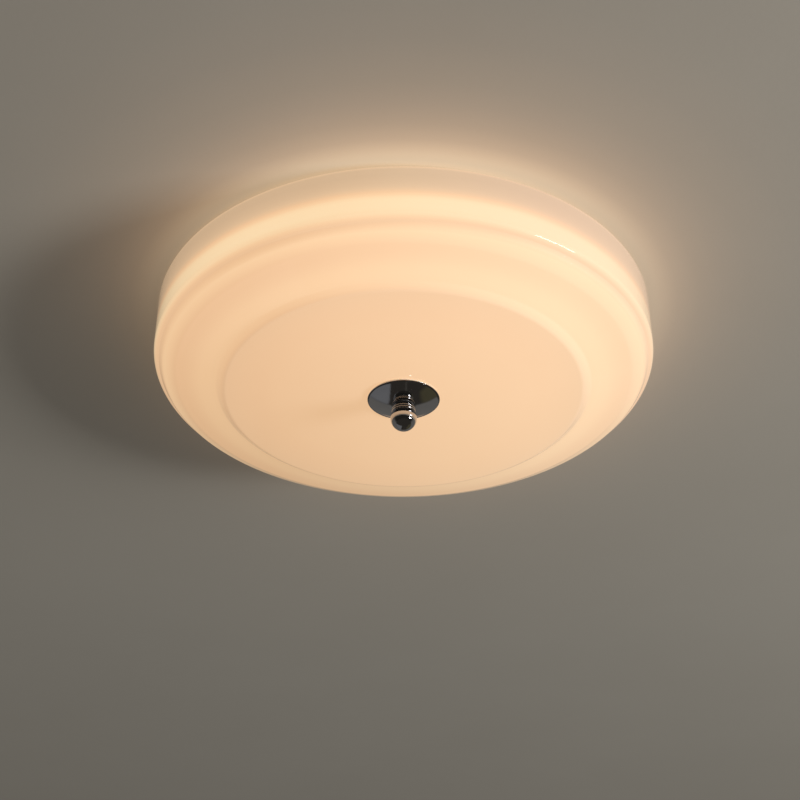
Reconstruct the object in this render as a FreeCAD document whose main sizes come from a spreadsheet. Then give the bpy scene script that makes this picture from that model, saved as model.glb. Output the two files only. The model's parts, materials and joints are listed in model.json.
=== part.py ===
import FreeCAD, Part
import math
import os
import Sketcher
from FreeCAD import Placement, Rotation, Vector

# Flush mount ceiling light: opal glass shade under a shallow ceiling pan, held at its centre
# by a threaded rod, a dished cap and a ball finial.
# Frame: +Z up, origin at the centre of the ceiling plane, the light hangs below it.

doc = FreeCAD.newDocument("CeilingLight")

# ---- driving dimensions, in millimetres, degrees or counts
sizes = {
    # glass shade, heights counted up from its flat underside
    "shadeRadius": 200.0,
    "shadeHeight": 68.5,
    "rimGap": 3.5,
    "glassWall": 4.0,
    "rimRound": 1.4,
    "stepWidth": 6.4,
    "stepHeight": 4.6,
    "stepOuterRound": 5.0,
    "stepInnerRound": 6.0,
    "shoulderWidth": 32.8,
    "shoulderHeight": 12.4,
    "shoulderRound": 12.0,
    "beadWidth": 10.6,
    "beadHeight": 17.6,
    "beadRound": 5.0,
    "grooveWidth": 2.9,
    "grooveHeight": 21.6,
    "grooveRound": 1.5,
    "cornerWidth": 4.5,
    "cornerHeight": 24.0,
    "cornerRound": 7.5,
    "shadeHoleRadius": 8.0,
    # threaded rod and its nuts
    "rodRadius": 4.0,
    "rodTopGap": 0.8,
    "rodChamfer": 0.6,
    "threadPitch": 1.25,
    "threadTurns": 10,
    "threadClearance": 0.05,
    "rodClearance": 0.4,
    "nutFlats": 13.0,
    "nutHeight": 6.5,
    "thinNutHeight": 3.2,
    "washerRadius": 8.0,
    "washerSheet": 1.5,
    # strap
    "strapLength": 112.0,
    "strapWidth": 22.0,
    "strapSheet": 2.0,
    "strapDrop": 4.0,
    "strapFootLength": 26.0,
    "slotSpacing": 89.0,
    "slotLength": 12.0,
    "slotWidth": 5.0,
    # ceiling pan
    "panGap": 10.0,
    "panSheet": 0.8,
    "panDepth": 22.0,
    "panLip": 12.0,
    "panBend": 2.0,
    "recessRadius": 60.0,
    "recessFlare": 6.0,
    "fixInset": 56.0,
    "fixHoleRadius": 2.75,
    "fixHoles": 4,
    "fixAngle": 45.0,
    # tray
    "traySheet": 1.0,
    "trayMargin": 2.0,
    "trayRib": 1.2,
    "trayRibWidth": 6.0,
    "trayRibInset": 22.0,
    # screws
    "screwHeadFactor": 1.9,
    "bigScrewRadius": 2.0,
    "smallScrewRadius": 1.5,
    "bigHead": 2.4,
    "smallHead": 1.8,
    "driveReach": 1.1,
    "driveWidth": 0.8,
    "driveDepth": 0.9,
    "panScrewCircle": 27.0,
    "panScrewLength": 5.2,
    "trayScrewInset": 5.5,
    "trayScrews": 3,
    "trayScrewLength": 5.0,
    "boardScrews": 6,
    "boardScrewLength": 5.0,
    "screwClearance": 0.2,
    # light board
    "boardInset": 74.0,
    "boardSheet": 1.6,
    "boardHoleRadius": 15.0,
    "innerLensCircle": 50.0,
    "innerLenses": 10,
    "outerLensInset": 12.0,
    "outerLenses": 20,
    "lensRadius": 6.8,
    "lensFlange": 1.0,
    "lensHeight": 4.6,
    "lensDomeRadius": 5.6,
    "lensDomeCurve": 5.9,
    "lensSeat": 0.9,
    "lensSeatRadius": 2.4,
    "chipSide": 2.8,
    "chipHeight": 0.7,
    # driver
    "driverInset": 68.0,
    "driverShift": -10.0,
    "driverLength": 92.0,
    "driverWidth": 40.0,
    "driverHeight": 16.0,
    "driverLidSheet": 2.0,
    "driverLidLip": 1.5,
    "driverWireHeight": 8.0,
    "driverWall": 2.0,
    "driverEar": 8.0,
    "driverEarSheet": 3.0,
    # terminal block
    "blockInset": 64.0,
    "blockLength": 34.0,
    "blockWidth": 17.0,
    "blockHeight": 13.0,
    "polePitch": 9.5,
    "poleGap": 1.6,
    "poleGapHeight": 7.5,
    "wireHoleRadius": 1.3,
    "blockWireHeight": 4.6,
    "clampScrewRadius": 2.0,
    "clampScrewInset": 1.6,
    # cable and earth
    "cableOffset": 36.0,
    "cableHoleRadius": 5.0,
    "grommetWall": 1.8,
    "grommetFlange": 2.6,
    "grommetLip": 1.4,
    "earthOffset": 38.0,
    "lugSheet": 0.8,
    "lugRadius": 4.2,
    "lugBarrel": 9.0,
    # leads
    "leadRadius": 1.0,
    "leadSpacing": 4.0,
    "leadStraight": 24.0,
    "sweepLeftX": 62.0,
    "sweepLeftY": 44.0,
    "sweepMiddleX": 16.0,
    "sweepMiddleY": 74.0,
    "sweepRightX": 42.0,
    "sweepRightY": 88.0,
    "sweepEndX": 20.0,
    "sweepEndY": 32.0,
    "sweepTail": 21.0,
    "outputStraight": 14.0,
    "outletRun": 30.0,
    "outletHoleRadius": 3.0,
    "outletAngle": 27.0,
    "outletSpacing": 3.0,
    "leadGrip": 4.0,
    "connectorInset": 7.0,
    "connectorLength": 9.0,
    "connectorWidth": 9.0,
    "connectorHeight": 4.4,
    # parts at the hole of the glass
    "flangeRadius": 14.0,
    "flangeSheet": 1.5,
    "bushGap": 0.3,
    "stopWasherRadius": 15.0,
    "gasketInner": 20.5,
    "gasketOuter": 28.0,
    "gasketSheet": 0.9,
    # cap
    "capRadius": 28.9,
    "capDepth": 5.8,
    "capSheet": 0.9,
    "capLandRadius": 9.6,
    "capRimFlat": 1.4,
    "capWasherSheet": 0.8,
    "capWasherRadius": 8.3,
    # finial, heights counted from the ball's centre
    "ballRadius": 10.5,
    "ballDrop": 12.2,
    "neckRadius": 8.9,
    "beadPitch": 1.9,
    "beadCurve": 1.15,
    "collarRadius": 8.3,
    "insertWall": 2.0,
    "insertLength": 14.0,
}

sheet = doc.addObject("Spreadsheet::Sheet", "Sizes")
for row, (alias, value) in enumerate(sizes.items(), start=1):
    sheet.set("A%d" % row, alias)
    sheet.set("B%d" % row, str(value))
    sheet.setAlias("B%d" % row, alias)
doc.recompute()


# A size knows both its formula for the sheet and its present value.
class Size:
    def __init__(self, text, value):
        self.text = text
        self.value = float(value)

    def join(self, sign, other, value):
        return Size("(%s %s %s)" % (self.text, sign, sizeOf(other).text), value)

    def __add__(self, other):
        return self.join("+", other, self.value + sizeOf(other).value)

    def __sub__(self, other):
        return self.join("-", other, self.value - sizeOf(other).value)

    def __mul__(self, other):
        return self.join("*", other, self.value * sizeOf(other).value)

    def __truediv__(self, other):
        return self.join("/", other, self.value / sizeOf(other).value)

    def __neg__(self):
        return Size("(-%s)" % self.text, -self.value)

    def __radd__(self, other):
        return sizeOf(other) + self

    def __rsub__(self, other):
        return sizeOf(other) - self

    def __rmul__(self, other):
        return sizeOf(other) * self


def sizeOf(thing):
    return thing if isinstance(thing, Size) else Size(repr(float(thing)), thing)


class Sheet:
    def __getattr__(self, alias):
        return Size("Sizes.%s" % alias, sizes[alias])


s = Sheet()


def cosine(angle):
    return Size("cos(%s * 1 deg)" % angle.text, math.cos(math.radians(angle.value)))


def sine(angle):
    return Size("sin(%s * 1 deg)" % angle.text, math.sin(math.radians(angle.value)))


def bind(target, **properties):
    for path, size in properties.items():
        size = sizeOf(size)
        target.setExpression(path.replace("__", "."), size.text)


def seat(target, x=0, y=0, z=0, turn=None):
    # place a sub-part; turn is in degrees about the vertical
    if turn is not None:
        turn = sizeOf(turn)
        target.Placement = Placement(Vector(), Rotation(Vector(0, 0, 1), turn.value))
        bind(target, Placement__Rotation__Angle=turn)
    bind(target, Placement__Base__x=x, Placement__Base__y=y, Placement__Base__z=z)
    return target


# ---- sketches
def newBody(name):
    body = doc.addObject("PartDesign::Body", name)
    body.Label = name
    return body


def newSketch(body, name, role):
    sketch = body.newObject("Sketcher::SketchObject", name)
    plane = [item for item in body.Origin.OriginFeatures if item.Role == role][0]
    sketch.AttachmentSupport = [(plane, "")]
    sketch.MapMode = "FlatFace"
    return sketch


def holdPoint(sketch, line, end, x, y):
    # a corner is held at its own distances from the sketch's origin
    for axis, kind, size in ((-2, "DistanceX", x), (-1, "DistanceY", y)):
        size = sizeOf(size)
        if size.value == 0:
            sketch.addConstraint(Sketcher.Constraint("PointOnObject", line, end, axis))
            continue
        index = sketch.addConstraint(Sketcher.Constraint(kind, -1, 1, line, end, size.value))
        name = "%s%d_%d" % (kind[-1].lower(), line, end)
        sketch.renameConstraint(index, name)
        sketch.setExpression("Constraints." + name, size.text)


def drawOutline(sketch, corners):
    # each corner is x, y and, where an arc leaves it, the arc's radius and side (1 left, -1 right)
    base, count = len(sketch.Geometry), len(corners)
    points = [Vector(sizeOf(c[0]).value, sizeOf(c[1]).value, 0) for c in corners]
    ends = []
    for i, corner in enumerate(corners):
        start, end = points[i], points[(i + 1) % count]
        if len(corner) == 2:
            sketch.addGeometry(Part.LineSegment(start, end), False)
            ends.append((1, 2))
            continue
        radius, side = sizeOf(corner[2]).value, corner[3]
        chord = end - start
        across = Vector(-chord.y, chord.x, 0).normalize() * side
        sagitta = radius - math.sqrt(radius ** 2 - chord.Length ** 2 / 4)
        sketch.addGeometry(Part.Arc(start, (start + end) / 2 + across * sagitta, end), False)
        forward = (sketch.Geometry[base + i].StartPoint - start).Length < 1e-6
        ends.append((1, 2) if forward else (2, 1))
    for i, corner in enumerate(corners):
        after = (i + 1) % count
        joined = (base + i, ends[i][1], base + after, ends[after][0])
        sketch.addConstraint(Sketcher.Constraint("Coincident", *joined))
        holdPoint(sketch, base + i, ends[i][0], corner[0], corner[1])
    for i, corner in enumerate(corners):
        if len(corner) == 4:
            holdRadius(sketch, base + i, corner[2])


def holdRadius(sketch, line, radius):
    radius = sizeOf(radius)
    index = sketch.addConstraint(Sketcher.Constraint("Radius", line, radius.value))
    sketch.renameConstraint(index, "radius%d" % line)
    sketch.setExpression("Constraints.radius%d" % line, radius.text)


def drawCircle(sketch, radius, x=0, y=0):
    radius = sizeOf(radius)
    centre = Vector(sizeOf(x).value, sizeOf(y).value, 0)
    line = sketch.addGeometry(Part.Circle(centre, Vector(0, 0, 1), radius.value), False)
    holdPoint(sketch, line, 3, x, y)
    holdRadius(sketch, line, radius)


def drawBox(sketch, x0, y0, x1, y1):
    drawOutline(sketch, [(x0, y0), (x1, y0), (x1, y1), (x0, y1)])


def drawCross(sketch, x, y, reach, width):
    # the recess of a cross-head screw
    half = width / 2
    steps = ((-1, -2), (1, -2), (1, -1), (2, -1), (2, 1), (1, 1),
             (1, 2), (-1, 2), (-1, 1), (-2, 1), (-2, -1), (-1, -1))
    offset = {-2: -reach, -1: -half, 1: half, 2: reach}
    drawOutline(sketch, [(x + offset[i], y + offset[j]) for i, j in steps])


# ---- features
def revolve(body, corners, name="Turned", cut=False):
    sketch = newSketch(body, name + "Outline", "XZ_Plane")
    drawOutline(sketch, corners)
    kind = "PartDesign::Groove" if cut else "PartDesign::Revolution"
    feature = body.newObject(kind, name)
    feature.Profile = sketch
    feature.ReferenceAxis = (sketch, ["V_Axis"])
    feature.Angle = 360
    return feature


def volumeOf(feature):
    doc.recompute()
    return feature.Shape.Volume


def pocket(body, sketch, depth, name, up=True):
    # cut along the plane's normal, or against it; depth None goes right through both ways
    before = volumeOf(body)
    feature = body.newObject("PartDesign::Pocket", name)
    feature.Profile = sketch
    if depth is None:
        feature.Type = 1
        feature.Midplane = True
    else:
        feature.Reversed = up
        bind(feature, Length=depth)
    if volumeOf(body) >= before:
        raise RuntimeError("%s cuts nothing" % name)
    return feature


def pad(body, sketch, length, name, down=False):
    feature = body.newObject("PartDesign::Pad", name)
    feature.Profile = sketch
    feature.Reversed = down
    bind(feature, Length=length)
    return feature


def polar(body, features, count, axisSketch, name):
    ring = body.newObject("PartDesign::PolarPattern", name)
    ring.Originals = features
    ring.Axis = (axisSketch, ["N_Axis"])
    ring.Angle = 360
    bind(ring, Occurrences=count)
    body.Tip = ring
    return ring


def raised(sketch, height):
    # lift a sketch's plane above its body's own base plane
    bind(sketch, AttachmentOffset__Base__z=height)
    return sketch


def circleEdges(shape, radius, height):
    names = []
    for i, edge in enumerate(shape.Edges, start=1):
        round_ = isinstance(edge.Curve, Part.Circle) and abs(edge.Curve.Radius - radius.value) < 1e-4
        if round_ and abs(edge.Curve.Center.z - height.value) < 1e-4:
            names.append("Edge%d" % i)
    return names


def roundEdge(body, radius, height, fillet, name):
    doc.recompute()
    base = body.Tip
    feature = body.newObject("PartDesign::Fillet", name)
    feature.Base = (base, circleEdges(base.Shape, sizeOf(radius), sizeOf(height)))
    bind(feature, Radius=fillet)
    doc.recompute()
    return feature


# ---- repeated kinds of piece
def turned(name, corners, z):
    body = newBody(name)
    revolve(body, corners)
    return seat(body, z=z)


def washer(name, inner, outer, thickness, z):
    # z is the lower face
    return turned(name, [(inner, 0), (outer, 0), (outer, thickness), (inner, thickness)], z)


def hexNut(name, height, z):
    # hexagon with its lower corners turned off, z is the lower face
    prism = doc.addObject("Part::Prism", name + "Prism")
    prism.Polygon = 6
    bind(prism, Circumradius=s.nutFlats / math.sqrt(3), Height=height)
    cone = doc.addObject("Part::Cone", name + "Cone")
    bind(cone, Radius1=s.nutFlats / 2, Radius2=s.nutFlats / 2 + height * math.sqrt(3), Height=height)
    blank = doc.addObject("Part::Common", name + "Blank")
    blank.Base, blank.Tool = prism, cone
    bore = doc.addObject("Part::Cylinder", name + "Bore")
    bind(bore, Radius=s.rodRadius, Height=height)
    nut = doc.addObject("Part::Cut", name)
    nut.Base, nut.Tool = blank, bore
    nut.Label = name
    return seat(nut, z=z)


def screws(name, places, radius, head, length, z, count=1, turn=None):
    # pan head screws pointing up at each place, copied round the axis; z is the seat of the heads
    body = newBody(name)
    headSketch = newSketch(body, "HeadOutline", "XY_Plane")
    shankSketch = newSketch(body, "ShankOutline", "XY_Plane")
    drive = raised(newSketch(body, "DriveOutline", "XY_Plane"), -head)
    for x, y in places:
        drawCircle(headSketch, radius * s.screwHeadFactor, x, y)
        drawCircle(shankSketch, radius, x, y)
        drawCross(drive, x, y, radius * s.driveReach, s.driveWidth)
    features = [
        pad(body, headSketch, head, "Head", down=True),
        pad(body, shankSketch, length, "Shank"),
        pocket(body, drive, s.driveDepth, "Drive")]
    if count != 1:
        polar(body, features, count, headSketch, "Ring")
    return seat(body, z=z, turn=turn)


def holeRing(body, circle, count, radius, name, angle=None, depth=None):
    # holes on a circle of a flat sheet, right through or to a depth above the base plane
    sketch = newSketch(body, name + "Outline", "XY_Plane")
    if angle is not None:
        sketch.AttachmentOffset = Placement(Vector(), Rotation(Vector(0, 0, 1), angle.value))
        bind(sketch, AttachmentOffset__Rotation__Angle=angle)
    drawCircle(sketch, radius, circle)
    cut = pocket(body, sketch, depth, name)
    return polar(body, [cut], count, sketch, name + "Ring")


# ---- levels, as heights below the ceiling
recessTop = s.strapDrop + s.strapSheet
recessBottom = recessTop + s.panSheet
trayTop = s.panDepth
trayBottom = trayTop + s.traySheet
boardBottom = trayBottom + s.boardSheet
shadeBottom = s.rimGap + s.shadeHeight
glassInside = shadeBottom - s.glassWall
flangeTop = glassInside - s.flangeSheet
stopTop = flangeTop - s.washerSheet
capRim = shadeBottom + s.gasketSheet
capApex = capRim + s.capDepth
collarTop = capApex + s.capWasherSheet
ballCentre = capApex + s.ballDrop
engagement = s.threadPitch * s.threadTurns
rodBottom = collarTop + engagement

# ---- radii and places shared by several pieces
panRadius = s.shadeRadius - s.glassWall - s.panGap
trayRadius = panRadius - s.trayMargin
trayScrewCircle = panRadius - s.trayScrewInset
boardRadius = panRadius - s.boardInset
outerLensCircle = boardRadius - s.outerLensInset
boardScrewCircle = (s.innerLensCircle + outerLensCircle) / 2
connectorCircle = boardRadius - s.connectorInset
outletCircle = boardRadius + s.outletRun
outletX, outletY = outletCircle * cosine(s.outletAngle), outletCircle * sine(s.outletAngle)
driverX = panRadius - s.driverInset
blockX = s.blockInset - panRadius
driverEarOffset = (s.driverLength + s.driverEar) / 2
driverScrewPlaces = [(driverX, s.driverShift + driverEarOffset * side) for side in (1, -1)]
blockScrewPlaces = [(blockX, s.polePitch / 2 * side) for side in (1, -1)]
polePlaces = [s.polePitch * step for step in (-1, 0, 1)]


# ---- strap, rod and nuts
def mountingStrap():
    # hat-shaped crossbar: two slotted feet on the ceiling, the middle lowered
    body = newBody("mounting_strap")
    half, foot = s.strapLength / 2, s.strapFootLength
    profile = newSketch(body, "BarOutline", "XZ_Plane")
    drop, sheetT = s.strapDrop, s.strapSheet
    inner = half - foot
    drawOutline(profile, [
        (-half, drop), (-inner, drop), (-inner + drop, 0), (inner - drop, 0), (inner, drop), (half, drop),
        (half, drop + sheetT), (inner - sheetT / 2, drop + sheetT), (inner - drop - sheetT / 2, sheetT),
        (-inner + drop + sheetT / 2, sheetT), (-inner + sheetT / 2, drop + sheetT), (-half, drop + sheetT)])
    bar = pad(body, profile, s.strapWidth, "Bar")
    bar.Midplane = True
    slots = newSketch(body, "SlotOutline", "XY_Plane")
    ends = newSketch(body, "SlotEndOutline", "XY_Plane")
    reach, radius = (s.slotLength - s.slotWidth) / 2, s.slotWidth / 2
    for middle in (s.slotSpacing / 2, -s.slotSpacing / 2):
        drawBox(slots, middle - reach, -radius, middle + reach, radius)
        drawCircle(ends, radius, middle - reach)
        drawCircle(ends, radius, middle + reach)
    pocket(body, slots, None, "Slots")
    pocket(body, ends, None, "SlotEnds")
    holes = newSketch(body, "ThreadOutline", "XY_Plane")
    drawCircle(holes, s.rodRadius)
    drawCircle(holes, s.bigScrewRadius, s.panScrewCircle)
    drawCircle(holes, s.bigScrewRadius, -s.panScrewCircle)
    pocket(body, holes, None, "Threads")
    return seat(body, z=-recessTop)


mountingStrap()
hexNut("strap_nut", s.thinNutHeight, -s.strapDrop)

rodEnd = s.rodRadius - s.rodChamfer
rodLength = rodBottom - s.rodTopGap
turned("centre_rod", [
    (0, 0), (rodEnd, 0), (s.rodRadius, s.rodChamfer), (s.rodRadius, rodLength - s.rodChamfer),
    (rodEnd, rodLength), (0, rodLength)], -rodBottom)

washer("pan_washer", s.rodRadius, s.washerRadius, s.washerSheet, -recessBottom - s.washerSheet)
hexNut("pan_nut", s.thinNutHeight, -recessBottom - s.washerSheet - s.thinNutHeight)
washer("tray_washer", s.rodRadius, s.washerRadius, s.washerSheet, -trayBottom - s.washerSheet)
hexNut("tray_nut", s.thinNutHeight, -trayBottom - s.washerSheet - s.thinNutHeight)
washer("stop_washer", s.rodRadius, s.stopWasherRadius, s.washerSheet, -flangeTop)
hexNut("stop_nut", s.nutHeight, -stopTop)


# ---- ceiling pan
def ceilingPan():
    # pressed dish open below, with a lowered middle for the strap and an in-turned lip for the tray
    body = newBody("ceiling_pan")
    t, deep = s.panSheet, s.panDepth
    lowered = deep - recessTop
    flare = s.recessRadius + s.recessFlare
    revolve(body, [
        (s.rodRadius + s.rodClearance, lowered - t), (s.recessRadius, lowered - t), (flare, deep - t),
        (panRadius - t, deep - t), (panRadius - t, t), (panRadius - s.panLip, t),
        (panRadius - s.panLip, 0), (panRadius, 0), (panRadius, deep),
        (flare - t / 2, deep), (s.recessRadius - t / 2, lowered), (s.rodRadius + s.rodClearance, lowered)])
    roundEdge(body, panRadius, deep, s.panBend, "TopBend")
    holes = newSketch(body, "RecessHoleOutline", "XY_Plane")
    drawCircle(holes, s.cableHoleRadius + s.grommetWall, 0, -s.cableOffset)
    drawCircle(holes, s.bigScrewRadius, 0, s.earthOffset)
    drawCircle(holes, s.bigScrewRadius + s.screwClearance, s.panScrewCircle)
    drawCircle(holes, s.bigScrewRadius + s.screwClearance, -s.panScrewCircle)
    pocket(body, holes, None, "RecessHoles")
    holeRing(body, panRadius - s.fixInset, s.fixHoles, s.fixHoleRadius, "FixHoles", s.fixAngle)
    holeRing(body, trayScrewCircle, s.trayScrews, s.bigScrewRadius, "TrayHoles", depth=s.panSheet * 2)
    return seat(body, z=-deep)


ceilingPan()
screws("pan_screws", [(s.panScrewCircle, 0)], s.bigScrewRadius, s.bigHead, s.panScrewLength,
       -recessBottom, 2)


def grommet(name, hole, sheetT, x, y, z):
    # soft bush snapped into a sheet, wide flange below, tapered lip above; z is the sheet's underside
    wall = hole + s.grommetWall
    flange = wall + s.grommetFlange
    taper = wall + s.grommetFlange / 2
    top = s.grommetLip + sheetT
    body = turned(name, [
        (hole, 0), (flange, 0), (flange, s.grommetLip), (wall, s.grommetLip),
        (wall, top), (taper, top), (wall, top + s.grommetLip), (hole, top + s.grommetLip)], 0)
    return seat(body, x, y, z - s.grommetLip)


grommet("cable_grommet", s.cableHoleRadius, s.panSheet, 0, -s.cableOffset, -recessBottom)


# ---- tray with the light board under it and the gear on it
def gearTray():
    # flat white sheet with a pressed stiffening rib, closing the pan
    body = newBody("gear_tray")
    t, rib, half = s.traySheet, s.trayRib, s.trayRibWidth / 2
    middle = trayRadius - s.trayRibInset
    inner, outer = middle - half, middle + half
    revolve(body, [
        (s.rodRadius, 0), (inner, 0), (inner + rib, -rib), (outer - rib, -rib), (outer, 0), (trayRadius, 0),
        (trayRadius, t), (outer, t), (outer - rib, t - rib), (inner + rib, t - rib), (inner, t),
        (s.rodRadius, t)])
    holeRing(body, trayScrewCircle, s.trayScrews, s.bigScrewRadius, "TrayHoles")
    holeRing(body, boardScrewCircle, s.boardScrews, s.smallScrewRadius, "BoardHoles")
    holes = newSketch(body, "GearHoleOutline", "XY_Plane")
    for x, y in driverScrewPlaces + blockScrewPlaces:
        drawCircle(holes, s.smallScrewRadius, x, y)
    pocket(body, holes, None, "GearHoles")
    holeRing(body, outletCircle, 1, s.outletHoleRadius + s.grommetWall, "OutletHole", s.outletAngle)
    return seat(body, z=-trayBottom)


def lightBoard():
    body = newBody("led_board")
    t = s.boardSheet
    revolve(body, [(s.boardHoleRadius, 0), (boardRadius, 0), (boardRadius, t), (s.boardHoleRadius, t)])
    holeRing(body, boardScrewCircle, s.boardScrews, s.smallScrewRadius, "BoardHoles")
    return seat(body, z=-boardBottom)


def lensRing(body, circle, count, name):
    # one lens on the circle, its dome pointing down, then copied round
    flange = newSketch(body, name + "FlangeOutline", "XY_Plane")
    drawCircle(flange, s.lensRadius, circle)
    flangePad = pad(body, flange, s.lensFlange, name + "Flange", down=True)
    seatSketch = raised(newSketch(body, name + "SeatOutline", "XY_Plane"), -s.lensSeat)
    drawCircle(seatSketch, s.lensSeatRadius, circle)
    seatCut = pocket(body, seatSketch, s.lensSeat, name + "Seat")
    dome = newSketch(body, name + "DomeOutline", "XZ_Plane")
    edge = circle + s.lensDomeRadius
    drawOutline(dome, [
        (circle, -s.lensFlange), (circle, -s.lensFlange - s.lensHeight, s.lensDomeCurve, -1),
        (edge, -s.lensFlange)])
    line = Part.LineSegment(Vector(circle.value, -1, 0), Vector(circle.value, -2, 0))
    axis = dome.addGeometry(line, True)
    dome.addConstraint(Sketcher.Constraint("PointOnObject", axis, 1, 0))
    dome.addConstraint(Sketcher.Constraint("PointOnObject", axis, 2, 0))
    turn = body.newObject("PartDesign::Revolution", name + "Dome")
    turn.Profile = dome
    turn.ReferenceAxis = (dome, ["Axis0"])
    turn.Angle = 360
    polar(body, [flangePad, seatCut, turn], count, flange, name + "Ring")


def ledLenses():
    body = newBody("led_lenses")
    lensRing(body, s.innerLensCircle, s.innerLenses, "Inner")
    lensRing(body, outerLensCircle, s.outerLenses, "Outer")
    return seat(body, z=-boardBottom)


def ledChips():
    # square light emitters, each in the hollow under its lens
    body = newBody("led_chips")
    half = s.chipSide / 2
    rings = ((s.innerLensCircle, s.innerLenses, "Inner"), (outerLensCircle, s.outerLenses, "Outer"))
    for circle, count, name in rings:
        outline = newSketch(body, name + "Outline", "XY_Plane")
        drawBox(outline, circle - half, -half, circle + half, half)
        chip = pad(body, outline, s.chipHeight, name + "Chip", down=True)
        polar(body, [chip], count, outline, name + "Ring")
    return seat(body, z=-boardBottom)


def boardConnector():
    # push-in connector at the edge of the board, its two wire holes facing outwards
    body = newBody("board_connector")
    half, outer = s.connectorWidth / 2, connectorCircle + s.connectorLength / 2
    outline = newSketch(body, "BlockOutline", "XY_Plane")
    drawBox(outline, connectorCircle - s.connectorLength / 2, -half, outer, half)
    pad(body, outline, s.connectorHeight, "Block", down=True)
    holes = raised(newSketch(body, "WireHoleOutline", "YZ_Plane"), outer)
    for side in (1, -1):
        drawCircle(holes, s.leadRadius, s.outletSpacing / 2 * side, -s.connectorHeight / 2)
    pocket(body, holes, s.leadGrip, "WireHoles", up=False)
    return seat(body, z=-boardBottom, turn=s.outletAngle)


def driverCase():
    # plastic tray for the driver's circuit, open above, with a screw ear at each end
    body = newBody("driver_case")
    width, length, wall = s.driverWidth / 2, s.driverLength / 2, s.driverWall
    rise = s.driverHeight - s.driverLidSheet
    outline = newSketch(body, "CaseOutline", "XY_Plane")
    drawBox(outline, -width, -length, width, length)
    pad(body, outline, rise, "Case")
    ears = newSketch(body, "EarOutline", "XY_Plane")
    drawBox(ears, -s.driverEar, -length - s.driverEar, s.driverEar, length + s.driverEar)
    pad(body, ears, s.driverEarSheet, "Ears")
    inside = raised(newSketch(body, "InsideOutline", "XY_Plane"), wall)
    drawBox(inside, -width + wall, -length + wall, width - wall, length - wall)
    pocket(body, inside, rise, "Inside")
    holes = newSketch(body, "EarHoleOutline", "XY_Plane")
    for side in (1, -1):
        drawCircle(holes, s.smallScrewRadius, 0, driverEarOffset * side)
    pocket(body, holes, None, "EarHoles")
    wires = newSketch(body, "WireHoleOutline", "XZ_Plane")
    for side in (1, -1):
        drawCircle(wires, s.leadRadius, s.leadSpacing / 2 * side, s.driverWireHeight)
    pocket(body, wires, None, "WireHoles")
    return seat(body, driverX, s.driverShift, -trayTop)


def driverLid():
    # flat lid with a lip that drops inside the case
    body = newBody("driver_lid")
    width, length = s.driverWidth / 2, s.driverLength / 2
    inset = s.driverWall
    outline = newSketch(body, "LidOutline", "XY_Plane")
    drawBox(outline, -width, -length, width, length)
    pad(body, outline, s.driverLidSheet, "Lid")
    lip = newSketch(body, "LipOutline", "XY_Plane")
    drawBox(lip, -width + inset, -length + inset, width - inset, length - inset)
    pad(body, lip, s.driverLidLip, "Lip", down=True)
    inside = raised(newSketch(body, "LipInsideOutline", "XY_Plane"), -s.driverLidLip)
    inset = s.driverWall * 2
    drawBox(inside, -width + inset, -length + inset, width - inset, length - inset)
    pocket(body, inside, s.driverLidLip, "LipInside")
    return seat(body, driverX, s.driverShift, s.driverHeight - s.driverLidSheet - trayTop)


def terminalBlock():
    # three-pole screw terminal, wire holes along X, clamp screws from above
    body = newBody("terminal_block")
    half, length = s.blockWidth / 2, s.blockLength / 2
    outline = newSketch(body, "BlockOutline", "XY_Plane")
    drawBox(outline, -half, -length, half, length)
    pad(body, outline, s.blockHeight, "Block")
    gaps = newSketch(body, "GapOutline", "XY_Plane")
    for side in (1, -1):
        y = s.polePitch / 2 * side
        drawBox(gaps, -half * 2, y - s.poleGap / 2, half * 2, y + s.poleGap / 2)
    pocket(body, raised(gaps, s.poleGapHeight), s.blockHeight, "Gaps")
    wires = newSketch(body, "WireHoleOutline", "YZ_Plane")
    clamps = raised(newSketch(body, "ClampHoleOutline", "XY_Plane"), s.blockWireHeight + s.leadRadius)
    for y in polePlaces:
        drawCircle(wires, s.wireHoleRadius, y, s.blockWireHeight)
        drawCircle(clamps, s.clampScrewRadius, 0, y)
    pocket(body, wires, None, "WireHoles")
    pocket(body, clamps, s.blockHeight, "ClampHoles")
    fixings = newSketch(body, "FixingOutline", "XY_Plane")
    for side in (1, -1):
        drawCircle(fixings, s.smallScrewRadius, 0, s.polePitch / 2 * side)
    pocket(body, fixings, s.boardScrewLength, "Fixings")
    return seat(body, blockX, 0, -trayTop)


def terminalScrews():
    # slotted grub screws standing on the wires in the three poles
    body = newBody("terminal_screws")
    outline = newSketch(body, "ScrewOutline", "XY_Plane")
    rise = s.blockHeight - s.blockWireHeight - s.leadRadius - s.clampScrewInset
    drive = raised(newSketch(body, "DriveOutline", "XY_Plane"), rise - s.driveDepth)
    for y in polePlaces:
        drawCircle(outline, s.clampScrewRadius, 0, y)
        reach, half = s.clampScrewRadius * 2, s.driveWidth / 2
        drawBox(drive, -reach, y - half, reach, y + half)
    pad(body, outline, rise, "Screws")
    pocket(body, drive, s.driveDepth, "Drive")
    return seat(body, blockX, 0, s.blockWireHeight + s.leadRadius - trayTop)


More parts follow.
